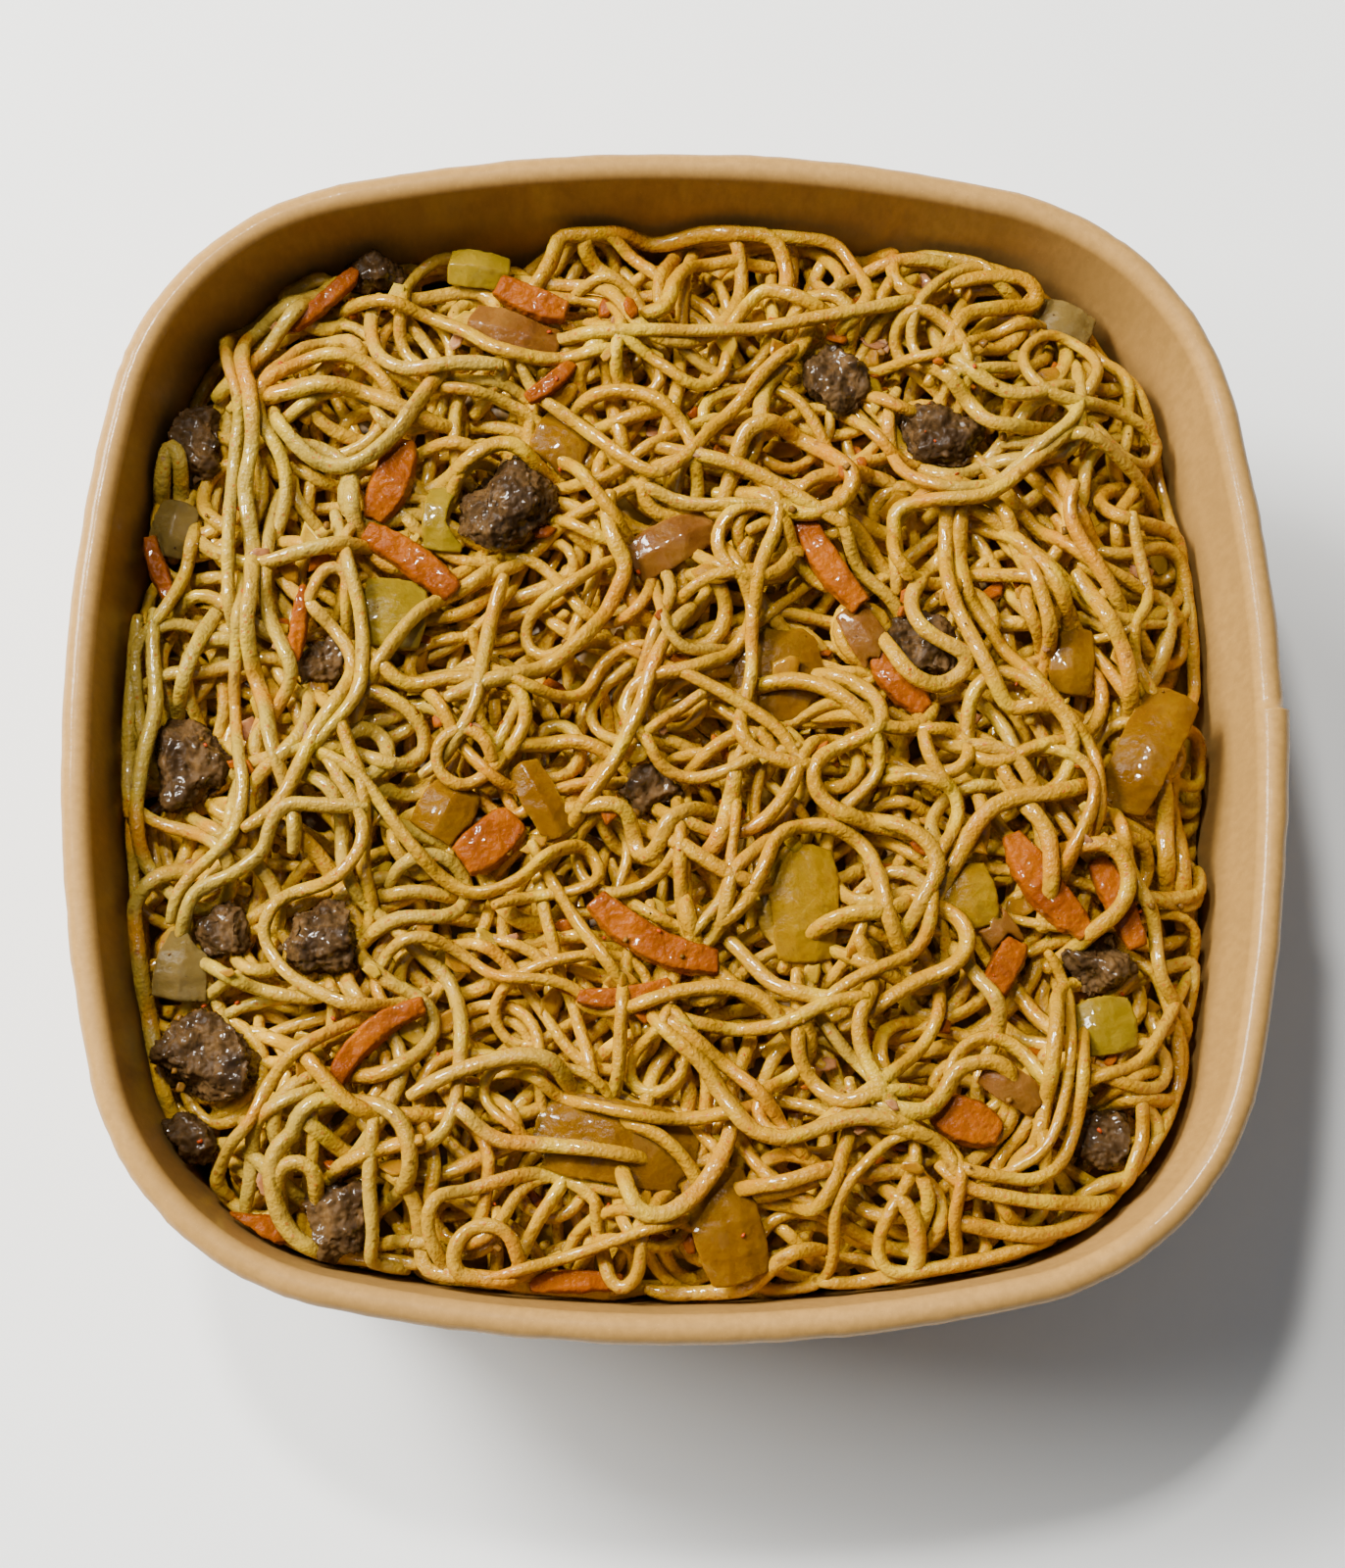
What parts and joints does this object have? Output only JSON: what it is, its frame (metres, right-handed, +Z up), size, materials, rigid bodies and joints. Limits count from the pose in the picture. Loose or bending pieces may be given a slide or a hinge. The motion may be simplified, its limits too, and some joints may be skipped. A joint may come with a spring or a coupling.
{
  "type": "noodle takeaway box",
  "caption": "Rounded-square kraft-board takeaway bowl with a rolled rim, filled with stir-fried noodles, beef, carrot and onion pieces.",
  "frame": {"origin": "on the table under the middle of the bowl", "axes": "+Z up out of the bowl, +X towards the wall's glued side seam, +Y towards the bowl's far side"},
  "size_m": [0.1729, 0.172, 0.0625],
  "materials": {
    "board": "uncoated kraft board with a faint satin barrier coat",
    "noodle": "oily cooked wheat noodles",
    "beef": "browned, glazed beef",
    "carrot": "cooked carrot with a thin glaze",
    "onion": "translucent fried onion"
  },
  "bodies": {
    "root": {"beef_01": "beef", "beef_02": "beef", "beef_03": "beef", "beef_04": "beef", "beef_05": "beef", "beef_06": "beef", "beef_07": "beef", "beef_08": "beef", "beef_09": "beef", "beef_10": "beef", "beef_11": "beef", "beef_12": "beef", "beef_13": "beef", "beef_14": "beef", "beef_15": "beef", "beef_16": "beef", "bowl_base": "board", "bowl_wall": "board", "carrot_01": "carrot", "carrot_02": "carrot", "carrot_03": "carrot", "carrot_04": "carrot", "carrot_05": "carrot", "carrot_06": "carrot", "carrot_07": "carrot", "carrot_08": "carrot", "carrot_09": "carrot", "carrot_10": "carrot", "carrot_11": "carrot", "carrot_12": "carrot", "carrot_13": "carrot", "carrot_14": "carrot", "carrot_15": "carrot", "carrot_16": "carrot", "carrot_17": "carrot", "carrot_18": "carrot", "carrot_19": "carrot", "noodle_heap": "noodle", "onion_01": "onion", "onion_02": "onion", "onion_03": "onion", "onion_04": "onion", "onion_05": "onion", "onion_06": "onion", "onion_07": "onion", "onion_08": "onion", "onion_09": "onion", "onion_10": "onion", "onion_11": "onion", "onion_12": "onion", "onion_13": "onion", "onion_14": "onion", "onion_15": "onion", "onion_16": "onion", "onion_17": "onion", "onion_18": "onion", "onion_19": "onion", "onion_20": "onion", "onion_21": "onion", "onion_22": "onion"}
  },
  "joints": []
}
